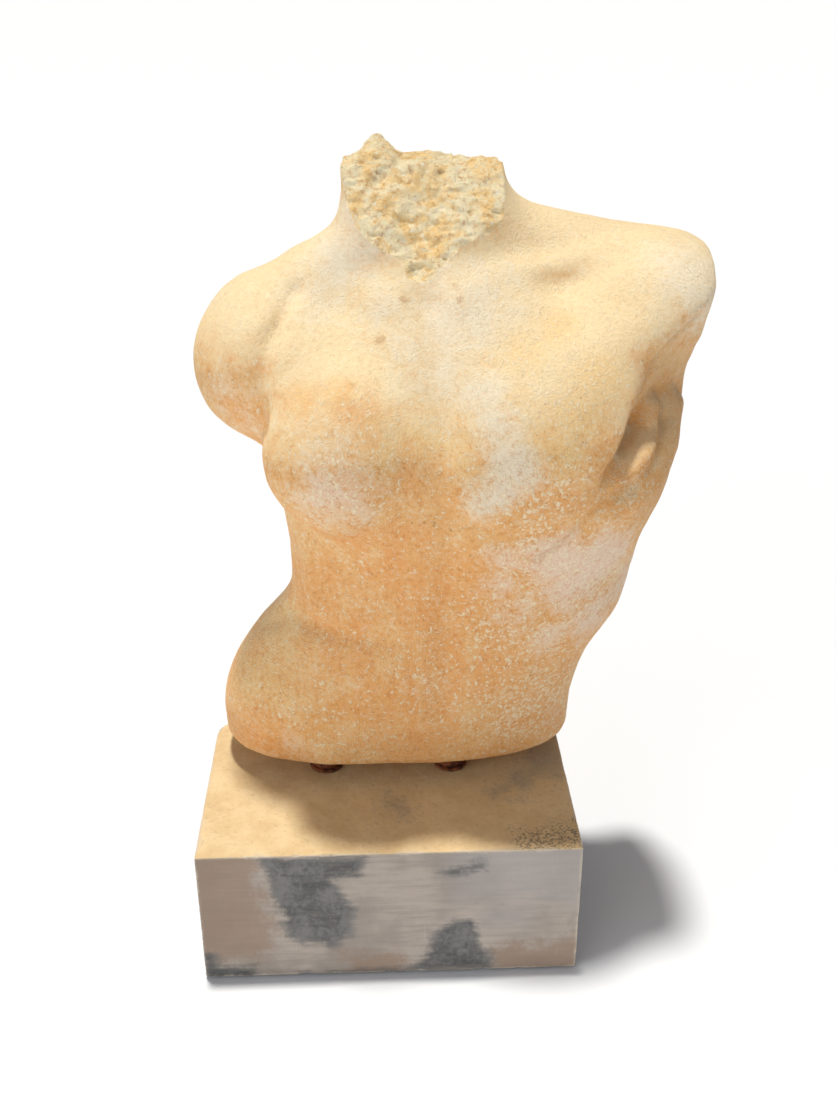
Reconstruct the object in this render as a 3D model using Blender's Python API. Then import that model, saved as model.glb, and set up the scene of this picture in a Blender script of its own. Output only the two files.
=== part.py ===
"""A headless, armless stone torso that stands clear of a stone block on three threaded studs.

Metres, +Z up, the chest faces -Y. The origin is the centre of the base sheet's underside.
The torso lifts straight up off its studs. Each piece is one object.
"""

import math

import bmesh
import bpy
import numpy as np

GAP = 0.0003  # clearance between pieces that touch

# The block and the sheet under it.
BLOCK_WIDTH = 0.320
BLOCK_DEPTH = 0.200
BLOCK_TOP_Z = 0.132
BLOCK_EDGE = 0.0015
SHEET_THICKNESS = 0.002
SHEET_INSET = 0.004

# M16 studs, nuts and washers.
STUD_RADIUS = 0.008
STUD_CHAMFER = 0.0015
STUD_ENGAGEMENT = 0.070  # length inside the torso
NUT_ACROSS_FLATS = 0.024
NUT_HEIGHT = 0.013
NUT_BORE_RADIUS = 0.0083
NUT_CHAMFER_ANGLE = math.radians(30)
WASHER_RADIUS = 0.015
WASHER_THICKNESS = 0.003
WASHER_BORE_RADIUS = 0.0085
STUD_PLACES = {"left": (-0.055, 0.026), "right": (0.057, 0.024), "rear": (0.080, 0.070)}

# Holes in the block and in the torso.
BLOCK_HOLE_RADIUS = 0.009
RECESS_RADIUS = 0.019
RECESS_DEPTH = 0.034
SOCKET_RADIUS = 0.010
SOCKET_DEPTH = 0.075
STUD_TAIL = 0.004  # length of thread that shows below the lower nut

ROUND_SIDES = 24
HOLE_SIDES = 32
FIELD_STEP = 0.005
TORSO_FACES_KEPT = 0.135

BLOCK_BOTTOM_Z = SHEET_THICKNESS + GAP
RECESS_TOP_Z = BLOCK_BOTTOM_Z + RECESS_DEPTH
UPPER_WASHER_Z = BLOCK_TOP_Z + GAP
UPPER_NUT_Z = UPPER_WASHER_Z + WASHER_THICKNESS + GAP
TORSO_BASE_Z = UPPER_NUT_Z + NUT_HEIGHT + GAP
LOWER_WASHER_Z = RECESS_TOP_Z - GAP - WASHER_THICKNESS
LOWER_NUT_Z = LOWER_WASHER_Z - GAP - NUT_HEIGHT
STUD_BOTTOM_Z = LOWER_NUT_Z - STUD_TAIL
STUD_TOP_Z = TORSO_BASE_Z + STUD_ENGAGEMENT

# The space that holds the torso.
FIELD_LOW = (-0.170, -0.100, 0.130)
FIELD_HIGH = (0.275, 0.160, 0.690)

# The trunk: height, centre x, centre y, half width, half depth, squareness, turn in degrees.
TRUNK = [
    (0.100, 0.010, 0.066, 0.150, 0.066, 2.4, 0),
    (0.150, 0.010, 0.067, 0.156, 0.073, 2.4, 0),
    (0.200, 0.013, 0.063, 0.155, 0.081, 2.4, 2),
    (0.250, 0.032, 0.057, 0.147, 0.083, 2.4, 4),
    (0.300, 0.059, 0.051, 0.142, 0.082, 2.4, 7),
    (0.340, 0.063, 0.044, 0.143, 0.082, 2.3, 9),
    (0.380, 0.066, 0.036, 0.150, 0.088, 2.3, 11),
    (0.420, 0.069, 0.032, 0.160, 0.092, 2.3, 12),
    (0.470, 0.070, 0.034, 0.160, 0.092, 2.3, 12),
    (0.520, 0.066, 0.040, 0.142, 0.082, 2.2, 11),
    (0.560, 0.056, 0.050, 0.105, 0.066, 2.1, 9),
    (0.595, 0.040, 0.056, 0.068, 0.050, 2.0, 6),
    (0.625, 0.035, 0.056, 0.063, 0.049, 2.1, 4),
    (0.720, 0.034, 0.052, 0.064, 0.052, 2.2, 4),
]

# Tapered limbs joined to the trunk: start, end, start radius, end radius, blend.
LIMBS = [
    ((0.078, 0.064, 0.600), (0.216, 0.054, 0.561), 0.031, 0.042, 0.030),
    ((0.022, 0.075, 0.584), (-0.080, 0.070, 0.522), 0.034, 0.054, 0.024),
    ((0.120, -0.018, 0.480), (0.212, 0.012, 0.556), 0.045, 0.040, 0.030),
    ((-0.030, -0.005, 0.480), (-0.070, 0.038, 0.515), 0.044, 0.050, 0.024),
    ((0.214, 0.072, 0.540), (0.217, 0.074, 0.455), 0.036, 0.039, 0.022),
    ((0.217, 0.074, 0.455), (0.157, 0.058, 0.310), 0.039, 0.045, 0.026),
    ((0.221, 0.050, 0.528), (0.223, 0.058, 0.470), 0.021, 0.027, 0.020),
    ((-0.002, 0.045, 0.604), (-0.050, 0.055, 0.570), 0.016, 0.020, 0.030),
]

# Rounded masses: centre, half sizes, lean in degrees, blend.
MASSES = [
    ((0.212, 0.036, 0.551), (0.070, 0.056, 0.047), 0, 0.025),
    ((-0.079, 0.060, 0.499), (0.071, 0.062, 0.065), 12, 0.020),
    ((-0.026, -0.018, 0.450), (0.066, 0.052, 0.064), 0, 0.022),
    ((0.108, -0.028, 0.455), (0.082, 0.040, 0.064), -18, 0.030),
    ((-0.056, 0.062, 0.200), (0.079, 0.068, 0.072), -25, 0.024),
    ((-0.012, 0.108, 0.490), (0.050, 0.022, 0.066), 8, 0.026),
    ((0.135, 0.098, 0.500), (0.054, 0.022, 0.062), -12, 0.026),
]

# Raised strokes: points, start radius, end radius, blend. A negative radius gives a fainter stroke.
RIDGES = [
    ([(0.058, -0.002, 0.564), (0.096, 0.014, 0.578), (0.150, 0.024, 0.586), (0.203, 0.034, 0.590)],
     0.002, 0.004, 0.022),
    ([(0.010, 0.006, 0.560), (-0.022, 0.030, 0.564), (-0.060, 0.052, 0.564)], 0.001, 0.002, 0.022),
    ([(-0.060, 0.016, 0.352), (-0.057, 0.014, 0.318), (-0.050, 0.006, 0.292)], 0.005, 0.003, 0.012),
]

# Cut strokes, in the same form.
GROOVES = [
    ([(0.004, -0.070, 0.430), (-0.010, -0.062, 0.402), (-0.031, -0.040, 0.381),
      (-0.055, -0.014, 0.373), (-0.076, 0.008, 0.380)], -0.001, 0.001, 0.014),
    ([(0.049, -0.064, 0.420), (0.072, -0.068, 0.402), (0.094, -0.069, 0.396),
      (0.121, -0.070, 0.400), (0.143, -0.071, 0.412), (0.160, -0.070, 0.432)], -0.006, 0.000, 0.022),
    ([(0.035, -0.012, 0.565), (0.041, -0.048, 0.516), (0.045, -0.070, 0.450),
      (0.047, -0.070, 0.405)], -0.003, -0.001, 0.030),
    ([(0.047, -0.066, 0.405), (0.050, -0.044, 0.340), (0.050, -0.034, 0.280),
      (0.047, -0.028, 0.220)], -0.003, -0.006, 0.030),
    ([(-0.118, 0.052, 0.272), (-0.084, 0.024, 0.290), (-0.042, -0.010, 0.288),
      (0.008, -0.030, 0.287)], 0.002, -0.004, 0.022),
    ([(-0.066, 0.024, 0.566), (-0.086, -0.008, 0.530), (-0.094, -0.015, 0.500),
      (-0.090, -0.016, 0.472)], -0.006, -0.004, 0.026),
    ([(0.052, 0.148, 0.180), (0.062, 0.144, 0.300), (0.058, 0.136, 0.420), (0.046, 0.136, 0.560)],
     0.004, 0.001, 0.030),
    ([(0.034, -0.012, 0.584), (0.034, -0.016, 0.570)], 0.004, 0.000, 0.018),
    ([(0.125, -0.034, 0.570), (0.175, -0.034, 0.578)], 0.006, 0.006, 0.030),
]

# The armpit: a long hollow and a deeper pocket, then two folds inside them.
HOLLOWS = [
    ([(0.172, -0.062, 0.446), (0.194, -0.044, 0.480), (0.224, -0.032, 0.522), (0.264, -0.026, 0.552)],
     0.008, 0.022, 0.012),
    ([(0.184, -0.042, 0.464), (0.202, -0.026, 0.482), (0.236, -0.018, 0.512)], 0.009, 0.017, 0.010),
]
FOLDS = [
    ([(0.200, -0.016, 0.486), (0.201, -0.020, 0.468), (0.190, -0.036, 0.452), (0.174, -0.046, 0.438)],
     0.011, 0.013, 0.008),
    ([(0.222, 0.004, 0.480), (0.216, -0.010, 0.454), (0.203, -0.028, 0.434), (0.186, -0.040, 0.420)],
     0.013, 0.011, 0.010),
]


def smooth_union(a, b, blend):
    h = np.clip(0.5 + 0.5 * (b - a) / blend, 0, 1)
    return b + (a - b) * h - blend * h * (1 - h)


def smooth_cut(a, b, blend):
    return -smooth_union(-a, b, blend)


def smooth_rows(rows, heights):
    """The columns of a station table, read along a smooth curve through its rows."""
    rows = np.array(rows, float)
    h = rows[:, 0]
    i = np.clip(np.searchsorted(h, heights) - 1, 0, len(h) - 2)
    d = h[i + 1] - h[i]
    t = np.clip((heights - h[i]) / d, 0, 1)
    columns = []
    for v in rows[:, 1:].T:
        m = np.gradient(v, h)
        ends = (2 * t**3 - 3 * t**2 + 1) * v[i] + (3 * t**2 - 2 * t**3) * v[i + 1]
        slopes = (t**3 - 2 * t**2 + t) * m[i] + (t**3 - t**2) * m[i + 1]
        columns.append(ends + d * slopes)
    return columns


def trunk(x, y, z):
    """Stacked rounded sections. The value is close to the distance in metres."""
    cx, cy, half_width, half_depth, square, turn = smooth_rows(TRUNK, z[0, 0, :])
    cos, sin = np.cos(np.radians(turn)), np.sin(np.radians(turn))
    u = (x - cx) * cos - (y - cy) * sin
    v = (x - cx) * sin + (y - cy) * cos
    reach = ((np.abs(u) / half_width) ** square + (np.abs(v) / half_depth) ** square) ** (1 / square)
    radius = np.hypot(u, v)
    return radius - radius / np.maximum(reach, 1e-3)


def mass(x, y, z, centre, half, lean):
    c, s = math.cos(math.radians(lean)), math.sin(math.radians(lean))
    px, py, pz = x - centre[0], y - centre[1], z - centre[2]
    px, pz = c * px - s * pz, s * px + c * pz
    a, b, d = half
    k0 = np.sqrt((px / a) ** 2 + (py / b) ** 2 + (pz / d) ** 2)
    k1 = np.sqrt((px / a**2) ** 2 + (py / b**2) ** 2 + (pz / d**2) ** 2)
    return k0 * (k0 - 1) / np.maximum(k1, 1e-6)


def limb(x, y, z, start, end, r0, r1):
    """A round bar that tapers from start to end."""
    start, along = np.array(start), np.subtract(end, start)
    px, py, pz = x - start[0], y - start[1], z - start[2]
    t = np.clip((px * along[0] + py * along[1] + pz * along[2]) / (along @ along), 0, 1)
    gap = np.sqrt((px - t * along[0]) ** 2 + (py - t * along[1]) ** 2 + (pz - t * along[2]) ** 2)
    return gap - (r0 + (r1 - r0) * t)


def stroke(x, y, z, points, r0, r1):
    """A round bar along a line of points, tapering from one end to the other."""
    radii = np.linspace(r0, r1, len(points))
    bars = [limb(x, y, z, points[i], points[i + 1], radii[i], radii[i + 1])
            for i in range(len(points) - 1)]
    return np.minimum.reduce(bars)


def plane(x, y, z, point, normal):
    """Distance above a plane, along its normal."""
    n = np.array(normal, float)
    n /= np.linalg.norm(n)
    return (x - point[0]) * n[0] + (y - point[1]) * n[1] + (z - point[2]) * n[2]


def noise(x, y, z, size, seed):
    """Smooth lattice noise between -1 and 1, with cells of the given size."""
    table = np.random.default_rng(seed).uniform(-1, 1, 4096)
    cells = [np.floor(v / size).astype(np.int64) for v in (x, y, z)]
    parts = [v / size - c for v, c in zip((x, y, z), cells)]
    parts = [t * t * (3 - 2 * t) for t in parts]
    total = 0
    for i, j, k in np.ndindex(2, 2, 2):
        key = (cells[0] + i) * 73856093 ^ (cells[1] + j) * 19349663 ^ (cells[2] + k) * 83492791
        weight = 1
        for step, part in zip((i, j, k), parts):
            weight = weight * (part if step else 1 - part)
        total = total + weight * table[key % 4096]
    return total


def fracture(x, y, z):
    """Distance above the broken top of the neck: a steep slope, a level back and one high corner."""
    slope = plane(x, y, z, (0.033, 0.001, 0.585), (0.0, -0.81, 0.587))
    top = z - 0.654 - 0.013 * np.exp(-(((x + 0.002) / 0.015) ** 2))
    rough = 0.0035 * noise(x, y, z, 0.034, 3) + 0.0022 * noise(x, y, z, 0.015, 4)
    clear_of_chest = 0.9 * np.maximum(x - 0.104, 0) + np.maximum(0.581 - z, 0)
    return smooth_cut(slope, -top, 0.008) - rough - clear_of_chest


def torso(x, y, z):
    """Negative inside the torso."""
    f = trunk(x, y, z)
    for start, end, r0, r1, blend in LIMBS:
        f = smooth_union(f, limb(x, y, z, start, end, r0, r1), blend)
    for centre, half, lean, blend in MASSES:
        f = smooth_union(f, mass(x, y, z, centre, half, lean), blend)
    for strokes, join in ((RIDGES, smooth_union), (GROOVES, smooth_cut), (HOLLOWS, smooth_cut),
                          (FOLDS, smooth_union)):
        for points, r0, r1, blend in strokes:
            f = join(f, stroke(x, y, z, points, r0, r1), blend)
    f = smooth_cut(f, z - TORSO_BASE_Z, 0.012)
    arm_cut = plane(x, y, z, (0.2495, 0.02, 0.56), (1.0, 0.02, -0.10))
    below_arm = smooth_union(plane(x, y, z, (0.2515, 0.0, 0.557), (1.0, -0.06, -0.28)),
                             plane(x, y, z, (0.2405, 0.0, 0.515), (1.0, -0.06, 1.0)), 0.012)
    f = smooth_cut(smooth_cut(f, -below_arm, 0.020), -arm_cut, 0.006)
    return np.maximum(f, fracture(x, y, z))


def surface_net(values, low, step):
    """Points and four-sided faces of the surface where the values change sign on a grid."""
    inside = values < 0
    cell_shape = np.array(values.shape) - 1

    def shifted(array, corner):
        return array[tuple(slice(c, c + n) for c, n in zip(corner, cell_shape))]

    filled = sum(shifted(inside, corner).astype(np.int8) for corner in np.ndindex(2, 2, 2))
    mixed = (filled > 0) & (filled < 8)
    cells = np.argwhere(mixed)
    number = np.full(mixed.shape, -1)
    number[mixed] = np.arange(len(cells))
    total, hits = np.zeros((len(cells), 3)), np.zeros(len(cells))
    for corner in np.ndindex(2, 2, 2):
        for axis in range(3):
            if corner[axis]:
                continue
            far = np.array(corner) + np.eye(3, dtype=int)[axis]
            a, b = shifted(values, corner)[mixed], shifted(values, far)[mixed]
            crossed = (a < 0) != (b < 0)
            point = cells + np.array(corner, float)
            point[:, axis] += np.where(crossed, a / np.where(crossed, a - b, 1), 0)
            total += point * crossed[:, None]
            hits += crossed
    points = np.array(low) + step * total / hits[:, None]
    faces = []
    for axis in range(3):
        across, up = np.eye(3, dtype=int)[(axis + 1) % 3], np.eye(3, dtype=int)[(axis + 2) % 3]
        near = np.moveaxis(inside, axis, 0)[:-1]
        far = np.moveaxis(inside, axis, 0)[1:]
        for leaving in (True, False):
            edges = np.argwhere(np.moveaxis((near == leaving) & (far != leaving), 0, axis))
            ring = [edges - across - up, edges - up, edges, edges - across]
            face = np.stack([number[tuple(cell.T)] for cell in ring], axis=1)
            faces.append(face if leaving else face[:, ::-1])
    return points, np.concatenate(faces)


def softened(values):
    """The values averaged with their neighbours along each axis, so that no fold is thinner than a cell."""
    for axis in range(3):
        rows = np.moveaxis(values, axis, 0)
        soft = rows.copy()
        soft[1:-1] = (rows[:-2] + 2 * rows[1:-1] + rows[2:]) / 4
        values = np.moveaxis(soft, 0, axis)
    return values


def material(name, color, roughness, metallic=0.0):
    made = bpy.data.materials.new(name)
    made.use_nodes = True
    shader = made.node_tree.nodes["Principled BSDF"]
    shader.inputs["Base Color"].default_value = (*color, 1.0)
    shader.inputs["Roughness"].default_value = roughness
    shader.inputs["Metallic"].default_value = metallic
    return made


def add_object(name, mesh, look, parent=None, location=(0, 0, 0), smooth=True):
    made = bpy.data.objects.new(name, mesh)
    bpy.context.collection.objects.link(made)
    made.location = location
    made.parent = parent
    if not mesh.materials:
        mesh.materials.append(look)
    if smooth:
        mesh.shade_smooth()
        mesh.set_sharp_from_angle(angle=math.radians(35))
    return made


def mesh_from_bmesh(name, shape):
    bmesh.ops.recalc_face_normals(shape, faces=shape.faces)
    mesh = bpy.data.meshes.new(name)
    shape.to_mesh(mesh)
    shape.free()
    return mesh


def box_mesh(name, size, low_z, high_z, edge):
    """A box on the Z axis between two heights, with its edges rounded off."""
    shape = bmesh.new()
    bmesh.ops.create_cube(shape, size=1.0)
    bmesh.ops.scale(shape, vec=(size[0], size[1], high_z - low_z), verts=shape.verts)
    bmesh.ops.translate(shape, vec=(0, 0, (low_z + high_z) / 2), verts=shape.verts)
    if edge:
        bmesh.ops.bevel(shape, geom=shape.edges[:], offset=edge, segments=2, profile=0.5, affect="EDGES")
    return mesh_from_bmesh(name, shape)


def turned_mesh(name, profile, sides, closed=False):
    """A shape turned about Z. Each profile point is (height, radius or a radius for each angle)."""
    shape = bmesh.new()
    angles = [2 * math.pi * i / sides for i in range(sides)]
    rings = []
    for height, radius in profile:
        reach = radius if callable(radius) else (lambda angle, fixed=radius: fixed)
        level = height if callable(height) else (lambda angle, fixed=height: fixed)
        rings.append([
            shape.verts.new((reach(a) * math.cos(a), reach(a) * math.sin(a), level(a))) for a in angles
        ])
    pairs = list(zip(rings, rings[1:]))
    if closed:
        pairs.append((rings[-1], rings[0]))
    for low, high in pairs:
        for i in range(sides):
            j = (i + 1) % sides
            shape.faces.new((low[i], low[j], high[j], high[i]))
    if not closed:
        shape.faces.new(rings[0])
        shape.faces.new(rings[-1])
    return mesh_from_bmesh(name, shape)


def stud_mesh():
    length = STUD_TOP_Z - STUD_BOTTOM_Z
    end = STUD_RADIUS - STUD_CHAMFER
    profile = [(0, end), (STUD_CHAMFER, STUD_RADIUS), (length - STUD_CHAMFER, STUD_RADIUS), (length, end)]
    return turned_mesh("stud", profile, ROUND_SIDES)


def washer_mesh():
    profile = [(0, WASHER_BORE_RADIUS), (0, WASHER_RADIUS),
               (WASHER_THICKNESS, WASHER_RADIUS), (WASHER_THICKNESS, WASHER_BORE_RADIUS)]
    return turned_mesh("washer", profile, ROUND_SIDES, closed=True)


def nut_mesh():
    """A hexagon nut whose corners are turned off at the chamfer angle on both faces."""
    inner = NUT_ACROSS_FLATS / 2

    def hexagon(angle):
        return inner / math.cos((angle + math.pi / 6) % (math.pi / 3) - math.pi / 6)

    def drop(angle):
        return (hexagon(angle) - inner * 0.97) * math.tan(NUT_CHAMFER_ANGLE)

    profile = [(0, NUT_BORE_RADIUS), (0, inner * 0.97), (drop, hexagon),
               (lambda angle: NUT_HEIGHT - drop(angle), hexagon),
               (NUT_HEIGHT, inner * 0.97), (NUT_HEIGHT, NUT_BORE_RADIUS)]
    return turned_mesh("nut", profile, ROUND_SIDES, closed=True)


def cut_hole(target, name, place, radius, low_z, high_z):
    """Bores a round hole through the target between two heights."""
    mesh = turned_mesh(name, [(low_z, radius), (high_z, radius)], HOLE_SIDES)
    cutter = bpy.data.objects.new(name, mesh)
    bpy.context.collection.objects.link(cutter)
    cutter.location = (*place, 0)
    cutter.hide_render = True
    cutter.display_type = "WIRE"
    hole = target.modifiers.new(name, "BOOLEAN")
    hole.operation = "DIFFERENCE"
    hole.object = cutter


def make_torso(look, parent):
    counts = [int(np.ceil((high - low) / FIELD_STEP)) + 1 for low, high in zip(FIELD_LOW, FIELD_HIGH)]
    axes = [low + FIELD_STEP * np.arange(n) for low, n in zip(FIELD_LOW, counts)]
    values = softened(torso(*np.meshgrid(*axes, indexing="ij")))
    points, faces = surface_net(values, FIELD_LOW, FIELD_STEP)
    mesh = bpy.data.meshes.new("torso")
    mesh.from_pydata((points - (0, 0, TORSO_BASE_Z)).tolist(), [], faces.tolist())
    made = add_object("torso", mesh, look, parent, (0, 0, 0), smooth=False)
    mesh.shade_smooth()
    thin = made.modifiers.new("thin_out", "DECIMATE")
    thin.ratio = TORSO_FACES_KEPT
    for name, place in STUD_PLACES.items():
        top_z = TORSO_BASE_Z + SOCKET_DEPTH
        cut_hole(made, f"socket_{name}_cutter", place, SOCKET_RADIUS, TORSO_BASE_Z - 0.01, top_z)
    return made


def make_block(look):
    mesh = box_mesh("block", (BLOCK_WIDTH, BLOCK_DEPTH), BLOCK_BOTTOM_Z, BLOCK_TOP_Z, BLOCK_EDGE)
    block = add_object("plinth_block", mesh, look)
    for name, place in STUD_PLACES.items():
        cut_hole(block, f"hole_{name}_cutter", place, BLOCK_HOLE_RADIUS, 0.0, BLOCK_TOP_Z + 0.01)
        cut_hole(block, f"recess_{name}_cutter", place, RECESS_RADIUS, -0.001, RECESS_TOP_Z)


def make_base_sheet(look):
    size = (BLOCK_WIDTH - 2 * SHEET_INSET, BLOCK_DEPTH - 2 * SHEET_INSET)
    add_object("base_sheet", box_mesh("base_sheet", size, 0.0, SHEET_THICKNESS, 0), look, smooth=False)


def make_hardware(look):
    """Three stacks: a stud, a washer and nut that carry the torso, and a washer and nut below."""
    stud, washer, nut = stud_mesh(), washer_mesh(), nut_mesh()
    for name, (x, y) in STUD_PLACES.items():
        add_object(f"stud_{name}", stud, look, location=(x, y, STUD_BOTTOM_Z))
        add_object(f"support_washer_{name}", washer, look, location=(x, y, UPPER_WASHER_Z))
        add_object(f"support_nut_{name}", nut, look, location=(x, y, UPPER_NUT_Z))
        add_object(f"clamp_washer_{name}", washer, look, location=(x, y, LOWER_WASHER_Z))
        add_object(f"clamp_nut_{name}", nut, look, location=(x, y, LOWER_NUT_Z))


def main():
    for old in list(bpy.data.objects):
        bpy.data.objects.remove(old, do_unlink=True)
    stone = material("patinated_stone", (0.78, 0.55, 0.30), 0.75)
    slate = material("worn_slate", (0.33, 0.29, 0.25), 0.70)
    rust = material("rusted_steel", (0.20, 0.07, 0.04), 0.85, 0.3)
    felt = material("felt", (0.07, 0.07, 0.07), 0.95)
    make_base_sheet(felt)
    make_block(slate)
    make_hardware(rust)
    lift = bpy.data.objects.new("torso_lift_axis", None)
    bpy.context.collection.objects.link(lift)
    lift.location = (0, 0, TORSO_BASE_Z)
    make_torso(stone, lift)


main()
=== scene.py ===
"""Looks of the stone torso and its slate block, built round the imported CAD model.

Metres, +Z up, the chest faces -Y. Shapes repeat the CAD's own tables and carry finer detail.
"""

import math

import bmesh
import bpy
import numpy as np
from mathutils import Matrix, Vector


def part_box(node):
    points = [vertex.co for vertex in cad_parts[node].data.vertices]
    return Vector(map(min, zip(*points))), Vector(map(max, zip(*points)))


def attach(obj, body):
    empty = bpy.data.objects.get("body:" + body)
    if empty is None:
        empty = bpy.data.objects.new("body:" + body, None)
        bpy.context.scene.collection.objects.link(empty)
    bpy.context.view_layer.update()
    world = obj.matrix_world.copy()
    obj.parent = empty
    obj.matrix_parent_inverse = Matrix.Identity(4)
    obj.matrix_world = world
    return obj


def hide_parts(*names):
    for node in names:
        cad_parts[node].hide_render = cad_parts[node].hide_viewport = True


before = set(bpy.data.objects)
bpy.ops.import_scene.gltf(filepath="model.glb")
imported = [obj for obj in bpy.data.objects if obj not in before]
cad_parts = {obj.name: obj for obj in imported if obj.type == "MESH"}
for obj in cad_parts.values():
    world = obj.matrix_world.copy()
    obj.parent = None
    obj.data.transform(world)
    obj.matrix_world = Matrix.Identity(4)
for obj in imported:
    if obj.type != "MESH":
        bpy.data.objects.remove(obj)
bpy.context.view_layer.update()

TORSO_BASE_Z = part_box("torso")[0].z
STUD_PLACES = {}
for stud in ("left", "right", "rear"):
    stud_low, stud_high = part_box(f"stud_{stud}")
    STUD_PLACES[stud] = ((stud_low.x + stud_high.x) / 2, (stud_low.y + stud_high.y) / 2)

SOCKET_RADIUS = 0.010
SOCKET_DEPTH = 0.075
HOLE_RADIUS = 0.009
RECESS_RADIUS = 0.019
RECESS_DEPTH = 0.034
BORE_SIDES = 48

FIELD_LOW = (-0.170, -0.100, 0.130)
FIELD_HIGH = (0.275, 0.160, 0.690)
FIELD_STEP = 0.0033
FRACTURE_CUTS = 3
FRACTURE_RIM = 0.0025
FRACTURE_REDRAWN_RIM = 0.004
ARMPIT = (0.196, -0.036, 0.466)
ARMPIT_REACH = (0.055, 0.035, 0.080)
ARMPIT_CUTS = 1
CREASE_SHADE = 0.0055
HOLLOW_REACH = 0.007
BLOCK_STEP = 0.0018
BLOCK_END_STEPS = (0, 0.0005, 0.0011, 0.0018, 0.0027, 0.0039, 0.0055)
BLOCK_END = 0.0072
FLOOR_HALF = 30.0
NUT_BORE = 0.0083
WASHER_BORE = 0.0085
THREAD_PITCH = 0.002
THREAD_DEPTH = 0.0011

# The trunk: height, centre x, centre y, half width, half depth, squareness, turn in degrees.
TRUNK = [
    (0.100, 0.010, 0.066, 0.150, 0.066, 2.4, 0),
    (0.150, 0.010, 0.067, 0.156, 0.073, 2.4, 0),
    (0.200, 0.013, 0.063, 0.155, 0.081, 2.4, 2),
    (0.250, 0.032, 0.057, 0.147, 0.083, 2.4, 4),
    (0.300, 0.059, 0.051, 0.142, 0.082, 2.4, 7),
    (0.340, 0.063, 0.044, 0.143, 0.082, 2.3, 9),
    (0.380, 0.066, 0.036, 0.150, 0.088, 2.3, 11),
    (0.420, 0.069, 0.032, 0.160, 0.092, 2.3, 12),
    (0.470, 0.070, 0.034, 0.160, 0.092, 2.3, 12),
    (0.520, 0.066, 0.040, 0.142, 0.082, 2.2, 11),
    (0.560, 0.056, 0.050, 0.105, 0.066, 2.1, 9),
    (0.595, 0.040, 0.056, 0.068, 0.050, 2.0, 6),
    (0.625, 0.035, 0.056, 0.063, 0.049, 2.1, 4),
    (0.720, 0.034, 0.052, 0.064, 0.052, 2.2, 4),
]

# Tapered limbs joined to the trunk: start, end, start radius, end radius, blend.
LIMBS = [
    ((0.078, 0.064, 0.600), (0.216, 0.054, 0.561), 0.031, 0.042, 0.030),
    ((0.022, 0.075, 0.584), (-0.080, 0.070, 0.522), 0.034, 0.054, 0.024),
    ((0.120, -0.018, 0.480), (0.212, 0.012, 0.556), 0.045, 0.040, 0.030),
    ((-0.030, -0.005, 0.480), (-0.070, 0.038, 0.515), 0.044, 0.050, 0.024),
    ((0.214, 0.072, 0.540), (0.217, 0.074, 0.455), 0.036, 0.039, 0.022),
    ((0.217, 0.074, 0.455), (0.157, 0.058, 0.310), 0.039, 0.045, 0.026),
    ((0.221, 0.050, 0.528), (0.223, 0.058, 0.470), 0.021, 0.027, 0.020),
    ((-0.002, 0.045, 0.604), (-0.050, 0.055, 0.570), 0.016, 0.020, 0.030),
]

# Rounded masses: centre, half sizes, lean in degrees, blend.
MASSES = [
    ((0.212, 0.036, 0.551), (0.070, 0.056, 0.047), 0, 0.025),
    ((-0.079, 0.060, 0.499), (0.071, 0.062, 0.065), 12, 0.020),
    ((-0.026, -0.018, 0.450), (0.066, 0.052, 0.064), 0, 0.022),
    ((0.108, -0.028, 0.455), (0.082, 0.040, 0.064), -18, 0.030),
    ((-0.056, 0.062, 0.200), (0.079, 0.068, 0.072), -25, 0.024),
    ((-0.012, 0.108, 0.490), (0.050, 0.022, 0.066), 8, 0.026),
    ((0.135, 0.098, 0.500), (0.054, 0.022, 0.062), -12, 0.026),
]

# Raised strokes: points, start radius, end radius, blend. A negative radius gives a fainter stroke.
RIDGES = [
    ([(0.058, -0.002, 0.564), (0.096, 0.014, 0.578), (0.150, 0.024, 0.586), (0.203, 0.034, 0.590)],
     0.002, 0.004, 0.022),
    ([(0.010, 0.006, 0.560), (-0.022, 0.030, 0.564), (-0.060, 0.052, 0.564)], 0.001, 0.002, 0.022),
    ([(-0.060, 0.016, 0.352), (-0.057, 0.014, 0.318), (-0.050, 0.006, 0.292)], 0.005, 0.003, 0.012),
]

# Cut strokes, in the same form.
GROOVES = [
    ([(0.004, -0.070, 0.430), (-0.010, -0.062, 0.402), (-0.031, -0.040, 0.381),
      (-0.055, -0.014, 0.373), (-0.076, 0.008, 0.380)], -0.001, 0.001, 0.014),
    ([(0.049, -0.064, 0.420), (0.072, -0.068, 0.402), (0.094, -0.069, 0.396),
      (0.121, -0.070, 0.400), (0.143, -0.071, 0.412), (0.160, -0.070, 0.432)], -0.006, 0.000, 0.022),
    ([(0.035, -0.012, 0.565), (0.041, -0.048, 0.516), (0.045, -0.070, 0.450),
      (0.047, -0.070, 0.405)], -0.003, -0.001, 0.030),
    ([(0.047, -0.066, 0.405), (0.050, -0.044, 0.340), (0.050, -0.034, 0.280),
      (0.047, -0.028, 0.220)], -0.003, -0.006, 0.030),
    ([(-0.118, 0.052, 0.272), (-0.084, 0.024, 0.290), (-0.042, -0.010, 0.288),
      (0.008, -0.030, 0.287)], 0.002, -0.004, 0.022),
    ([(-0.066, 0.024, 0.566), (-0.086, -0.008, 0.530), (-0.094, -0.015, 0.500),
      (-0.090, -0.016, 0.472)], -0.006, -0.004, 0.026),
    ([(0.052, 0.148, 0.180), (0.062, 0.144, 0.300), (0.058, 0.136, 0.420), (0.046, 0.136, 0.560)],
     0.004, 0.001, 0.030),
    ([(0.034, -0.012, 0.584), (0.034, -0.016, 0.570)], 0.004, 0.000, 0.018),
    ([(0.125, -0.034, 0.570), (0.175, -0.034, 0.578)], 0.003, 0.003, 0.030),
]

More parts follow.
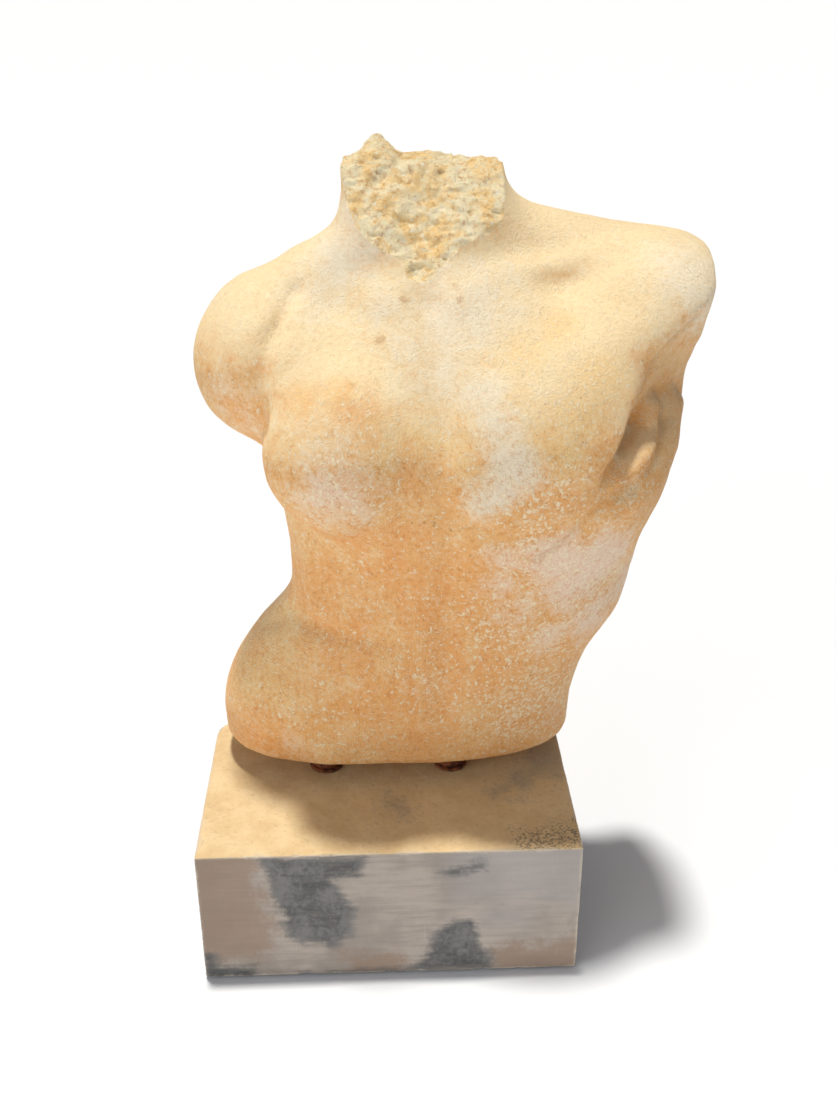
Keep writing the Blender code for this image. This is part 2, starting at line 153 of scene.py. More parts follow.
# The armpit: a long hollow and a deeper pocket, then two folds inside them.
HOLLOWS = [
    ([(0.172, -0.062, 0.446), (0.194, -0.044, 0.480), (0.224, -0.032, 0.522), (0.264, -0.026, 0.552)],
     0.008, 0.022, 0.012),
    ([(0.184, -0.042, 0.464), (0.202, -0.026, 0.482), (0.236, -0.018, 0.512)], 0.009, 0.017, 0.010),
]
FOLDS = [
    ([(0.200, -0.016, 0.486), (0.201, -0.020, 0.468), (0.190, -0.036, 0.452), (0.174, -0.046, 0.438)],
     0.011, 0.013, 0.008),
    ([(0.222, 0.004, 0.480), (0.216, -0.010, 0.454), (0.203, -0.028, 0.434), (0.186, -0.040, 0.420)],
     0.013, 0.011, 0.010),
]

# Fine lines cut round the armpit: the edge of the chest, between the folds, and down the ribs.
CREASES = [
    ([(0.236, -0.027, 0.556), (0.216, -0.031, 0.540), (0.205, -0.034, 0.526), (0.198, -0.036, 0.508),
      (0.189, -0.046, 0.490), (0.179, -0.055, 0.472), (0.171, -0.062, 0.454)], 0.0022, 0.0030, 0.006),
    ([(0.212, -0.014, 0.470), (0.207, -0.024, 0.458), (0.198, -0.036, 0.446), (0.186, -0.046, 0.436),
      (0.177, -0.054, 0.430)], 0.0036, 0.0022, 0.006),
    ([(0.186, -0.054, 0.437), (0.171, -0.064, 0.428), (0.152, -0.067, 0.408), (0.137, -0.063, 0.391),
      (0.117, -0.060, 0.374)], 0.0042, 0.0000, 0.009),
]


def smooth_union(a, b, blend):
    h = np.clip(0.5 + 0.5 * (b - a) / blend, 0, 1)
    return b + (a - b) * h - blend * h * (1 - h)


def smooth_cut(a, b, blend):
    return -smooth_union(-a, b, blend)


def smooth_rows(rows, heights):
    """The columns of a station table, read along a smooth curve through its rows."""
    rows = np.array(rows, float)
    h = rows[:, 0]
    i = np.clip(np.searchsorted(h, heights) - 1, 0, len(h) - 2)
    d = h[i + 1] - h[i]
    t = np.clip((heights - h[i]) / d, 0, 1)
    columns = []
    for v in rows[:, 1:].T:
        m = np.gradient(v, h)
        ends = (2 * t**3 - 3 * t**2 + 1) * v[i] + (3 * t**2 - 2 * t**3) * v[i + 1]
        slopes = (t**3 - 2 * t**2 + t) * m[i] + (t**3 - t**2) * m[i + 1]
        columns.append(ends + d * slopes)
    return columns


def trunk(x, y, z):
    """Stacked rounded sections, on a grid or at loose points. The value is close to the distance."""
    heights = z[0, 0] if z.ndim == 3 else z
    cx, cy, half_width, half_depth, square, turn = smooth_rows(TRUNK, heights)
    cos, sin = np.cos(np.radians(turn)), np.sin(np.radians(turn))
    u = (x - cx) * cos - (y - cy) * sin
    v = (x - cx) * sin + (y - cy) * cos
    reach = ((np.abs(u) / half_width) ** square + (np.abs(v) / half_depth) ** square) ** (1 / square)
    radius = np.hypot(u, v)
    return radius - radius / np.maximum(reach, 1e-3)


def mass(x, y, z, centre, half, lean):
    c, s = math.cos(math.radians(lean)), math.sin(math.radians(lean))
    px, py, pz = x - centre[0], y - centre[1], z - centre[2]
    px, pz = c * px - s * pz, s * px + c * pz
    a, b, d = half
    k0 = np.sqrt((px / a) ** 2 + (py / b) ** 2 + (pz / d) ** 2)
    k1 = np.sqrt((px / a**2) ** 2 + (py / b**2) ** 2 + (pz / d**2) ** 2)
    return k0 * (k0 - 1) / np.maximum(k1, 1e-6)


def limb(x, y, z, start, end, r0, r1):
    """A round bar that tapers from start to end."""
    start, along = np.array(start), np.subtract(end, start)
    px, py, pz = x - start[0], y - start[1], z - start[2]
    t = np.clip((px * along[0] + py * along[1] + pz * along[2]) / (along @ along), 0, 1)
    gap = np.sqrt((px - t * along[0]) ** 2 + (py - t * along[1]) ** 2 + (pz - t * along[2]) ** 2)
    return gap - (r0 + (r1 - r0) * t)


def stroke(x, y, z, points, r0, r1):
    """A round bar along a line of points, tapering from one end to the other."""
    radii = np.linspace(r0, r1, len(points))
    bars = [limb(x, y, z, points[i], points[i + 1], radii[i], radii[i + 1])
            for i in range(len(points) - 1)]
    return np.minimum.reduce(bars)


def plane(x, y, z, point, normal):
    """Distance above a plane, along its normal."""
    n = np.array(normal, float)
    n /= np.linalg.norm(n)
    return (x - point[0]) * n[0] + (y - point[1]) * n[1] + (z - point[2]) * n[2]


def noise(x, y, z, size, seed):
    """Smooth lattice noise between -1 and 1, with cells of the given size."""
    table = np.random.default_rng(seed).uniform(-1, 1, 4096)
    cells = [np.floor(v / size).astype(np.int64) for v in (x, y, z)]
    parts = [v / size - c for v, c in zip((x, y, z), cells)]
    parts = [t * t * (3 - 2 * t) for t in parts]
    total = 0
    for i, j, k in np.ndindex(2, 2, 2):
        key = (cells[0] + i) * 73856093 ^ (cells[1] + j) * 19349663 ^ (cells[2] + k) * 83492791
        weight = 1
        for step, part in zip((i, j, k), parts):
            weight = weight * (part if step else 1 - part)
        total = total + weight * table[key % 4096]
    return total


def fracture(x, y, z):
    """Distance above the broken top of the neck: a steep slope, a level back and one high corner."""
    slope = plane(x, y, z, (0.033, 0.001, 0.585), (0.0, -0.81, 0.587))
    top = z - 0.654 - 0.013 * np.exp(-(((x + 0.002) / 0.015) ** 2))
    rough = 0.0035 * noise(x, y, z, 0.034, 3) + 0.0022 * noise(x, y, z, 0.015, 4)
    tip = 0.005 * np.exp(-(((x - 0.026) / 0.014) ** 2)) - 0.005 * np.exp(-(((x - 0.062) / 0.014) ** 2))
    slope = slope + tip * np.clip((0.045 - y) / 0.03, 0, 1)
    clear_of_chest = 0.9 * np.maximum(x - 0.104, 0) + np.maximum(0.581 - z, 0)
    return smooth_cut(slope, -top, 0.008) - rough - clear_of_chest


def uncreased(x, y, z):
    """Negative inside the torso, before its creases and flat cuts."""
    f = trunk(x, y, z)
    for start, end, r0, r1, blend in LIMBS:
        f = smooth_union(f, limb(x, y, z, start, end, r0, r1), blend)
    for centre, half, lean, blend in MASSES:
        f = smooth_union(f, mass(x, y, z, centre, half, lean), blend)
    for strokes, join in ((RIDGES, smooth_union), (GROOVES, smooth_cut), (HOLLOWS, smooth_cut),
                          (FOLDS, smooth_union)):
        for points, r0, r1, blend in strokes:
            f = join(f, stroke(x, y, z, points, r0, r1), blend)
    return f


def drawn_to(field, points, rounds, most):
    """The points moved onto a field's surface, by no more than a set distance each round."""
    reach = 0.0006
    for _ in range(rounds):
        x, y, z = points.T
        value = field(x, y, z)
        slope = np.stack([
            field(*(points + reach * step).T) - field(*(points - reach * step).T) for step in np.eye(3)
        ], axis=1) / (2 * reach)
        size = np.maximum((slope**2).sum(axis=1), 0.2)
        points = points - slope * (np.clip(value, -most, most) / size)[:, None]
    return points


LAID_CREASES = [(drawn_to(uncreased, np.array(line), 6, 0.004), *rest) for line, *rest in CREASES]


def torso(x, y, z):
    """Negative inside the torso."""
    f = uncreased(x, y, z)
    for line, r0, r1, blend in LAID_CREASES:
        f = smooth_cut(f, stroke(x, y, z, line, r0, r1), blend)
    f = smooth_cut(f, z - TORSO_BASE_Z, 0.012)
    arm_cut = plane(x, y, z, (0.2495, 0.02, 0.56), (1.0, 0.02, -0.10))
    below_arm = smooth_union(plane(x, y, z, (0.2515, 0.0, 0.557), (1.0, -0.06, -0.28)),
                             plane(x, y, z, (0.2405, 0.0, 0.515), (1.0, -0.06, 1.0)), 0.012)
    return smooth_cut(smooth_cut(f, -below_arm, 0.020), -arm_cut, 0.006)


def weathered(x, y, z):
    """The torso with its worn surface and the fine relief of the break."""
    worn = 0.0005 * noise(x, y, z, 0.026, 11) + 0.00025 * noise(x, y, z, 0.009, 12)
    fine = 0.0020 * noise(x, y, z, 0.0080, 5) + 0.0012 * noise(x * 0.6, y, z, 0.0036, 6)
    fine += 0.0016 * np.abs(noise(x - 0.6 * z, y, z + 0.5 * x, 0.012, 7))
    return np.maximum(torso(x, y, z) + worn, fracture(x, y, z) - fine)


def surface_net(values, low, step):
    """Points and four-sided faces of the surface where the values change sign on a grid."""
    inside = values < 0
    cell_shape = np.array(values.shape) - 1

    def shifted(array, corner):
        return array[tuple(slice(c, c + n) for c, n in zip(corner, cell_shape))]

    filled = sum(shifted(inside, corner).astype(np.int8) for corner in np.ndindex(2, 2, 2))
    mixed = (filled > 0) & (filled < 8)
    cells = np.argwhere(mixed)
    number = np.full(mixed.shape, -1)
    number[mixed] = np.arange(len(cells))
    total, hits = np.zeros((len(cells), 3)), np.zeros(len(cells))
    for corner in np.ndindex(2, 2, 2):
        for axis in range(3):
            if corner[axis]:
                continue
            far = np.array(corner) + np.eye(3, dtype=int)[axis]
            a, b = shifted(values, corner)[mixed], shifted(values, far)[mixed]
            crossed = (a < 0) != (b < 0)
            point = cells + np.array(corner, float)
            point[:, axis] += np.where(crossed, a / np.where(crossed, a - b, 1), 0)
            total += point * crossed[:, None]
            hits += crossed
    points = np.array(low) + step * total / hits[:, None]
    faces = []
    for axis in range(3):
        across, up = np.eye(3, dtype=int)[(axis + 1) % 3], np.eye(3, dtype=int)[(axis + 2) % 3]
        near = np.moveaxis(inside, axis, 0)[:-1]
        far = np.moveaxis(inside, axis, 0)[1:]
        for leaving in (True, False):
            edges = np.argwhere(np.moveaxis((near == leaving) & (far != leaving), 0, axis))
            ring = [edges - across - up, edges - up, edges, edges - across]
            face = np.stack([number[tuple(cell.T)] for cell in ring], axis=1)
            faces.append(face if leaving else face[:, ::-1])
    return points, np.concatenate(faces)


def softened(values):
    """The values averaged with their neighbours, so that no fold is thinner than a cell."""
    for axis in range(3):
        rows = np.moveaxis(values, axis, 0)
        soft = rows.copy()
        soft[1:-1] = (rows[:-2] + 2 * rows[1:-1] + rows[2:]) / 4
        values = np.moveaxis(soft, 0, axis)
    return values


def mesh_points(mesh):
    flat = np.empty(len(mesh.vertices) * 3, np.float32)
    mesh.vertices.foreach_get("co", flat)
    return flat.reshape(-1, 3).astype(float)


def set_mesh_points(mesh, points):
    mesh.vertices.foreach_set("co", points.astype(np.float32).ravel())
    mesh.update()


def paint(mesh, name, values):
    """Keeps a value for each vertex under a name that the materials read."""
    layer = mesh.attributes.new(name, "FLOAT", "POINT")
    layer.data.foreach_set("value", np.clip(values, 0, 1).astype(np.float32))


def mesh_from_bmesh(name, shape):
    bmesh.ops.recalc_face_normals(shape, faces=shape.faces)
    mesh = bpy.data.meshes.new(name)
    shape.to_mesh(mesh)
    shape.free()
    return mesh


def turned_mesh(name, profile, sides, closed=False):
    """A shape turned about Z. Each profile point is (height, radius or a radius for each angle)."""
    shape = bmesh.new()
    angles = [2 * math.pi * i / sides for i in range(sides)]
    rings = []
    for height, radius in profile:
        reach = radius if callable(radius) else (lambda angle, fixed=radius: fixed)
        level = height if callable(height) else (lambda angle, fixed=height: fixed)
        rings.append([
            shape.verts.new((reach(a) * math.cos(a), reach(a) * math.sin(a), level(a))) for a in angles
        ])
    pairs = list(zip(rings, rings[1:]))
    if closed:
        pairs.append((rings[-1], rings[0]))
    for low, high in pairs:
        for i in range(sides):
            j = (i + 1) % sides
            shape.faces.new((low[i], low[j], high[j], high[i]))
    if not closed:
        shape.faces.new(rings[0])
        shape.faces.new(rings[-1])
    return mesh_from_bmesh(name, shape)


def linked(name, data):
    """A new object in the scene that shows the given mesh, light or camera."""
    made = bpy.data.objects.new(name, data)
    bpy.context.collection.objects.link(made)
    return made


def add_piece(name, mesh, look, body, nodes, sharp_angle=None):
    made = linked(name, mesh)
    mesh.materials.clear()
    mesh.materials.append(look)
    mesh.shade_smooth()
    if sharp_angle:
        mesh.set_sharp_from_angle(angle=math.radians(sharp_angle))
    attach(made, body)
    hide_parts(*nodes)
    return made


def bored(mesh, holes):
    """The mesh with round holes cut in it: each hole is (place, radius, low z, high z)."""
    body = linked("bored", mesh)
    cutters = []
    for place, radius, low_z, high_z in holes:
        bore = turned_mesh("cutter", [(low_z, radius), (high_z, radius)], BORE_SIDES)
        cutter = linked("cutter", bore)
        cutter.location = (*place, 0)
        cut = body.modifiers.new("bore", "BOOLEAN")
        cut.operation = "DIFFERENCE"
        cut.object = cutter
        cutters.append(cutter)
    graph = bpy.context.evaluated_depsgraph_get()
    made = bpy.data.meshes.new_from_object(body.evaluated_get(graph), depsgraph=graph)
    for used in [body, *cutters]:
        bpy.data.objects.remove(used, do_unlink=True)
    return made


def torso_mesh():
    counts = [int(np.ceil((high - low) / FIELD_STEP)) + 1 for low, high in zip(FIELD_LOW, FIELD_HIGH)]
    axes = [low + FIELD_STEP * np.arange(n) for low, n in zip(FIELD_LOW, counts)]
    x, y, z = np.meshgrid(*axes, indexing="ij")
    values = softened(weathered(x, y, z))
    points, faces = surface_net(values, FIELD_LOW, FIELD_STEP)
    points = drawn_to(weathered, points, 2, 0.0010)
    shape = bmesh.new()
    verts = [shape.verts.new(p) for p in points]
    for face in faces.tolist():
        shape.faces.new([verts[i] for i in face])
    all_faces = list(shape.faces)
    above = torso(*points.T) < fracture(*points.T) + FRACTURE_RIM
    at_armpit = np.linalg.norm((points - ARMPIT) / ARMPIT_REACH, axis=1) < 1
    for chosen, cuts in ((above, FRACTURE_CUTS), (at_armpit, ARMPIT_CUTS)):
        picked = [f for f, face in zip(all_faces, faces) if chosen[face].all()]
        edges = list({edge for face in picked for edge in face.edges})
        bmesh.ops.subdivide_edges(shape, edges=edges, cuts=cuts, use_grid_fill=True)
    mesh = mesh_from_bmesh("torso_stone", shape)
    points = mesh_points(mesh)
    near = torso(*points.T) < fracture(*points.T) + FRACTURE_REDRAWN_RIM
    near |= np.linalg.norm((points - ARMPIT) / ARMPIT_REACH, axis=1) < 1.1
    points[near] = drawn_to(weathered, points[near], 3, 0.0012)
    set_mesh_points(mesh, points)
    holes = [(place, SOCKET_RADIUS, TORSO_BASE_Z - 0.01, TORSO_BASE_Z + SOCKET_DEPTH)
             for place in STUD_PLACES.values()]
    return bored(mesh, holes)


# Soft patches of the torso's surface, by what they show: centre x, y and z, radius, strength.
SURFACE_PATCHES = {
    "white": [
        (0.051, -0.017, 0.555, 0.060, 0.8), (0.043, -0.033, 0.522, 0.050, 0.6),
        (0.080, -0.011, 0.568, 0.045, 0.7), (-0.045, 0.024, 0.568, 0.045, 0.6),
        (0.000, 0.001, 0.566, 0.045, 0.5), (-0.022, 0.031, 0.589, 0.045, 0.9),
        (0.053, -0.039, 0.520, 0.035, 0.5), (0.071, -0.054, 0.510, 0.028, 0.8),
        (0.082, -0.067, 0.491, 0.026, 0.9), (0.088, -0.072, 0.470, 0.026, 0.9),
        (0.099, -0.075, 0.457, 0.030, 0.9), (0.089, -0.073, 0.443, 0.026, 0.9),
        (0.071, -0.069, 0.430, 0.026, 0.7), (0.226, -0.012, 0.585, 0.050, 0.8),
        (0.232, -0.023, 0.560, 0.040, 0.5), (-0.004, 0.020, 0.620, 0.050, 0.9),
    ],
    "pink": [
        (0.096, -0.057, 0.377, 0.030, 0.7), (0.111, -0.058, 0.382, 0.030, 0.7),
        (0.135, -0.053, 0.375, 0.040, 1.2), (0.169, -0.040, 0.368, 0.044, 1.2),
        (0.197, 0.008, 0.325, 0.042, 0.8), (0.169, -0.017, 0.305, 0.044, 0.9),
        (0.135, -0.027, 0.292, 0.034, 0.6), (0.108, -0.035, 0.320, 0.034, 0.6),
        (0.091, -0.042, 0.350, 0.030, 0.6), (0.165, -0.052, 0.391, 0.030, 0.6),
        (0.150, -0.040, 0.340, 0.042, 1.1),
        (-0.036, -0.065, 0.440, 0.050, 0.8), (-0.030, -0.065, 0.470, 0.034, 0.5),
        (-0.117, 0.011, 0.486, 0.050, 0.5), (-0.085, -0.009, 0.170, 0.040, 0.4),
    ],
    "tan": [
        (0.028, -0.031, 0.330, 0.090, 0.8), (0.012, -0.038, 0.370, 0.060, 0.8),
        (-0.021, -0.013, 0.284, 0.070, 0.8), (0.061, -0.027, 0.271, 0.080, 0.9),
        (0.028, -0.023, 0.231, 0.090, 0.8), (-0.019, -0.045, 0.385, 0.040, 0.9),
        (0.012, -0.050, 0.398, 0.036, 0.8), (-0.118, 0.012, 0.165, 0.060, 0.7),
        (0.120, 0.000, 0.200, 0.090, 0.5), (-0.050, -0.040, 0.392, 0.034, 0.8),
        (-0.020, -0.052, 0.500, 0.030, 0.5), (-0.055, -0.042, 0.500, 0.030, 0.4),
        (0.130, -0.070, 0.430, 0.040, 0.5), (0.020, -0.050, 0.440, 0.040, 0.5),
    ],
    "spots": [
        (0.120, -0.005, 0.220, 0.080, 1.0), (0.100, -0.030, 0.300, 0.060, 0.9),
        (0.135, -0.050, 0.370, 0.060, 1.0), (0.170, -0.030, 0.340, 0.060, 1.0),
        (0.120, -0.070, 0.430, 0.050, 0.9), (0.090, -0.070, 0.450, 0.040, 0.9),
        (-0.036, -0.065, 0.450, 0.060, 0.8), (0.080, -0.045, 0.500, 0.070, 0.6),
        (0.140, -0.050, 0.510, 0.060, 0.6), (0.060, -0.025, 0.250, 0.070, 0.5),
        (-0.050, -0.010, 0.200, 0.070, 0.4), (0.180, -0.045, 0.430, 0.040, 0.8),
    ],
    # Painted shade in the armpit, down the right side, low at the left hip and on the outer left shoulder.
    "shade": [
        (0.196, -0.036, 0.470, 0.040, 0.7), (0.222, -0.022, 0.500, 0.050, 1.0),
        (0.240, 0.000, 0.480, 0.065, 1.0), (0.244, 0.030, 0.430, 0.090, 1.0),
        (0.215, -0.020, 0.430, 0.050, 0.8), (0.175, -0.055, 0.440, 0.035, 0.6),
        (-0.130, 0.030, 0.165, 0.030, 0.5), (-0.090, 0.000, 0.155, 0.030, 0.5),
        (-0.150, 0.050, 0.480, 0.050, 0.6),
    ],
    # Warmer, paler orange; the patches low on the left side are partly painted light.
    "warm": [
        (0.131, -0.023, 0.548, 0.030, 0.8), (0.157, -0.054, 0.520, 0.036, 1.0),
        (0.142, -0.068, 0.495, 0.034, 1.0), (0.127, -0.075, 0.474, 0.034, 1.0),
        (0.101, -0.036, 0.537, 0.030, 0.8), (0.035, -0.041, 0.502, 0.024, 0.8),
        (0.027, -0.054, 0.476, 0.024, 0.8), (-0.060, -0.040, 0.503, 0.022, 1.0),
        (-0.031, -0.046, 0.508, 0.022, 1.0), (-0.009, -0.056, 0.493, 0.022, 0.8),
        (0.001, -0.064, 0.464, 0.024, 0.8), (-0.160, 0.030, 0.520, 0.060, 0.9),
        (-0.150, 0.020, 0.470, 0.050, 0.9), (-0.118, 0.019, 0.227, 0.050, 0.9),
        (0.190, -0.015, 0.560, 0.050, 0.5), (0.210, -0.010, 0.520, 0.050, 0.6),
        (-0.120, 0.030, 0.290, 0.060, 0.8),
    ],
    "stain": [
        (0.018, -0.004, 0.567, 0.0075, 1.0), (0.058, -0.013, 0.569, 0.0070, 0.9),
        (-0.001, -0.014, 0.540, 0.0080, 1.0), (0.055, -0.005, 0.576, 0.0060, 0.9),
        (0.004, 0.016, 0.596, 0.0070, 0.8), (-0.023, -0.041, 0.514, 0.0060, 0.8),
    ],
    "dirt": [
        (0.057, -0.055, 0.398, 0.022, 1.0), (0.035, -0.053, 0.411, 0.020, 0.9),
        (0.077, -0.054, 0.376, 0.020, 0.7), (0.046, -0.048, 0.387, 0.024, 0.9),
        (0.120, -0.020, 0.255, 0.030, 0.6),
    ],
}


def patches(points, spots):
    """The strongest of several soft round patches at each point."""
    values = np.zeros(len(points))
    for *centre, radius, strength in spots:
        distance = np.linalg.norm(points - centre, axis=1)
        values = np.maximum(values, strength * np.clip(1 - distance / radius, 0, 1) ** 0.7)
    return values


def paint_torso(mesh):
    points = mesh_points(mesh)
    x, y, z = points.T
    broken = fracture(x, y, z) - torso(x, y, z)
    paint(mesh, "break", 0.5 + broken / 0.006)
    for name, spots in SURFACE_PATCHES.items():
        paint(mesh, name, patches(points, spots))
    # Painted shade along the armpit creases.
    gaps = [stroke(*points.T, line, 0, 0) for line, *_ in LAID_CREASES]
    paint(mesh, "crease", 1 - np.minimum.reduce(gaps) / CREASE_SHADE)
    # How far each vertex faces up, which the stone look turns into painted light and shade.
    normals = np.empty(3 * len(points))
    mesh.vertices.foreach_get("normal", normals)
    paint(mesh, "upward", normals[2::3])
    # How closely the surface closes in round each vertex, which the stone look turns into painted shade.
    paint(mesh, "hollow", crowding(points, HOLLOW_REACH))


def crowding(points, reach):
    """How far the surface closes in round each point: 0.5 on a flat, more in a crease."""
    step = 0.001
    slope = np.stack([
        torso(*(points + step * axis).T) - torso(*(points - step * axis).T) for axis in np.eye(3)
    ], axis=1)
    normal = slope / np.maximum(np.linalg.norm(slope, axis=1), 1e-9)[:, None]
    outside = torso(*(points + reach * normal).T)
    return 1 - 0.5 * outside / reach


class Look:
    """A material that is built up from short node calls."""

    def __init__(self, name, roughness=0.7, specular=0.4, metallic=0.0):
        self.material = bpy.data.materials.new(name)
        self.material.use_nodes = True
        self.tree = self.material.node_tree
        self.shader = self.tree.nodes["Principled BSDF"]
        self.shader.inputs["Roughness"].default_value = roughness
        self.shader.inputs["Specular IOR Level"].default_value = specular
        self.shader.inputs["Metallic"].default_value = metallic
        self.at = self.node("ShaderNodeTexCoord").outputs["Object"]

    def node(self, kind, inputs=None, **settings):
        made = self.tree.nodes.new(kind)
        for key, value in settings.items():
            setattr(made, key, value)
        for key, value in (inputs or {}).items():
            self.feed(made.inputs[key], value)
        return made

    def feed(self, socket, value):
        if isinstance(value, bpy.types.NodeSocket):
            self.tree.links.new(value, socket)
        elif isinstance(value, tuple) and len(value) == 3 and socket.type == "RGBA":
            socket.default_value = (*value, 1.0)
        else:
            socket.default_value = value

    def painted(self, name):
        return self.node("ShaderNodeAttribute", attribute_name=name).outputs["Fac"]

    def stretched(self, scale, turn=(0, 0, 0)):
        inputs = {"Vector": self.at, "Scale": scale, "Rotation": turn}
        return self.node("ShaderNodeMapping", inputs).outputs[0]

    def noise(self, scale, detail=4.0, rough=0.55, bend=0.0, at=None):
        return self.node("ShaderNodeTexNoise", {
            "Vector": at or self.at, "Scale": scale, "Detail": detail, "Roughness": rough, "Distortion": bend,
        }).outputs[0]

    def cells(self, scale, at=None, random=1.0):
        inputs = {"Vector": at or self.at, "Scale": scale, "Randomness": random}
        made = self.node("ShaderNodeTexVoronoi", inputs)
        return made.outputs["Distance"], made.outputs["Color"]

    def math(self, operation, a, b=0.0, c=0.0, clamp=False):
        made = self.node("ShaderNodeMath", operation=operation, use_clamp=clamp)
        for i, value in enumerate((a, b, c)):
            self.feed(made.inputs[i], value)
        return made.outputs[0]

    def plus(self, a, b, clamp=False):
        return self.math("ADD", a, b, clamp=clamp)

    def times(self, a, b):
        return self.math("MULTIPLY", a, b)

    def swing(self, value, strength):
        """A value round 0.5, brought round 0 and scaled."""
        return self.times(self.math("SUBTRACT", value, 0.5), strength)

    def ramp(self, value, low, high, out_low=0.0, out_high=1.0):
        """A smooth step from one value to another between low and high."""
        return self.node("ShaderNodeMapRange", {
            "Value": value, "From Min": low, "From Max": high, "To Min": out_low, "To Max": out_high,
        }, interpolation_type="SMOOTHSTEP").outputs[0]

    def mix(self, factor, a, b, blend="MIX"):
        made = self.node("ShaderNodeMix", data_type="RGBA", blend_type=blend)
        for i, value in ((0, factor), (6, a), (7, b)):
            self.feed(made.inputs[i], value)
        return made.outputs[2]

    def bump(self, height, distance, strength=1.0, under=None):
        inputs = {"Height": height, "Distance": distance, "Strength": strength}
        if under:
            inputs["Normal"] = under
        return self.node("ShaderNodeBump", inputs).outputs[0]

    def finish(self, color, roughness=None, normal=None):
        self.feed(self.shader.inputs["Base Color"], color)
        if roughness is not None:
            self.feed(self.shader.inputs["Roughness"], roughness)
        if normal is not None:
            self.feed(self.shader.inputs["Normal"], normal)
        return self.material


